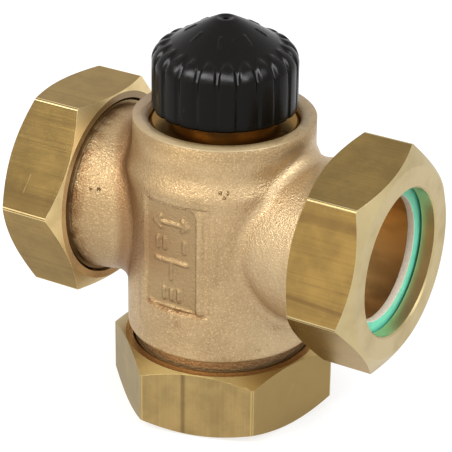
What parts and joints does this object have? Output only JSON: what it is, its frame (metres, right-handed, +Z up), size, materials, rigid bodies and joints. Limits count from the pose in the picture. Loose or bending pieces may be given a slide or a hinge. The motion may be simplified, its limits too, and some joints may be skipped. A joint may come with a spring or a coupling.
{
  "type": "three-way valve",
  "caption": "Three-way mixing or diverting valve: a cast T-shaped body, hexagon union nuts with flat gaskets on its ports, and a ribbed protective cap over a spring-loaded spindle.",
  "frame": {"origin": "centre of the bottom union nut's outer face, under the middle of the object", "axes": "+Z up along the spindle, +X along the side ports towards the right-hand port, -Y to the front panel"},
  "size_m": [0.1038, 0.0598, 0.1077],
  "materials": {
    "cast_gunmetal": "blasted casting",
    "drawn_brass": "drawn flats, turned faces",
    "turned_brass": "turned",
    "gasket_fibre": "matt sheet",
    "cap_plastic": "satin moulded",
    "spindle_steel": "ground",
    "seal_rubber": "matt"
  },
  "bodies": {
    "body": {"valve_body": "cast_gunmetal", "bonnet": "turned_brass", "bonnet_o_ring": "seal_rubber", "seat_cage": "turned_brass", "cage_o_ring": "seal_rubber", "gland_screw": "turned_brass", "gland_o_ring": "seal_rubber", "spindle_o_ring": "seal_rubber", "spring_floor_washer": "spindle_steel", "return_spring": "spindle_steel"},
    "stem": {"spindle": "spindle_steel", "spring_seat_plate": "spindle_steel", "spindle_circlip": "spindle_steel", "upper_clamp_washer": "turned_brass", "upper_seal_disc": "seal_rubber", "plug": "turned_brass", "lower_seal_disc": "seal_rubber", "lower_clamp_washer": "turned_brass", "plug_lock_nut": "turned_brass"},
    "cap": {"protective_cap": "cap_plastic"},
    "gasket_left": {"gasket_left": "gasket_fibre"},
    "union_nut_left": {"union_nut_left": "drawn_brass"},
    "gasket_right": {"gasket_right": "gasket_fibre"},
    "union_nut_right": {"union_nut_right": "drawn_brass"},
    "gasket_bottom": {"gasket_bottom": "gasket_fibre"},
    "union_nut_bottom": {"union_nut_bottom": "drawn_brass"}
  },
  "joints": [
    {"name": "stem_lift", "type": "slide", "parent": "body", "child": "stem", "axis": [0, 0, 1], "range_m": [-0.0035, 0], "deforming": ["return_spring"]},
    {"name": "cap_turn", "type": "hinge", "parent": "stem", "child": "cap", "pos_m": [0, 0, 0.0926], "axis": [0, 0, 1], "range_deg": [-840, 0]},
    {"name": "left_nut_travel", "type": "slide", "parent": "body", "child": "gasket_left", "axis": [-1, 0, 0], "range_m": [0, 0.0127]},
    {"name": "left_nut_turn", "type": "hinge", "parent": "gasket_left", "child": "union_nut_left", "pos_m": [-0.045, 0, 0.0526], "axis": [-1, 0, 0], "range_deg": [0, 1980.08]},
    {"name": "right_nut_travel", "type": "slide", "parent": "body", "child": "gasket_right", "axis": [1, 0, 0], "range_m": [0, 0.0127]},
    {"name": "right_nut_turn", "type": "hinge", "parent": "gasket_right", "child": "union_nut_right", "pos_m": [0.045, 0, 0.0526], "axis": [1, 0, 0], "range_deg": [0, 1980.08]},
    {"name": "bottom_nut_travel", "type": "slide", "parent": "body", "child": "gasket_bottom", "axis": [0, 0, -1], "range_m": [0, 0.0127]},
    {"name": "bottom_nut_turn", "type": "hinge", "parent": "gasket_bottom", "child": "union_nut_bottom", "pos_m": [0, 0, 0.0076], "axis": [0, 0, -1], "range_deg": [0, 1980.08]}
  ],
  "couplings": [
    {"joint": "cap_turn", "follows": "stem_lift", "rad_per_m": 4188.8},
    {"joint": "left_nut_travel", "follows": "left_nut_turn", "m_per_rad": 0.00036749},
    {"joint": "right_nut_travel", "follows": "right_nut_turn", "m_per_rad": 0.00036749},
    {"joint": "bottom_nut_travel", "follows": "bottom_nut_turn", "m_per_rad": 0.00036749}
  ]
}
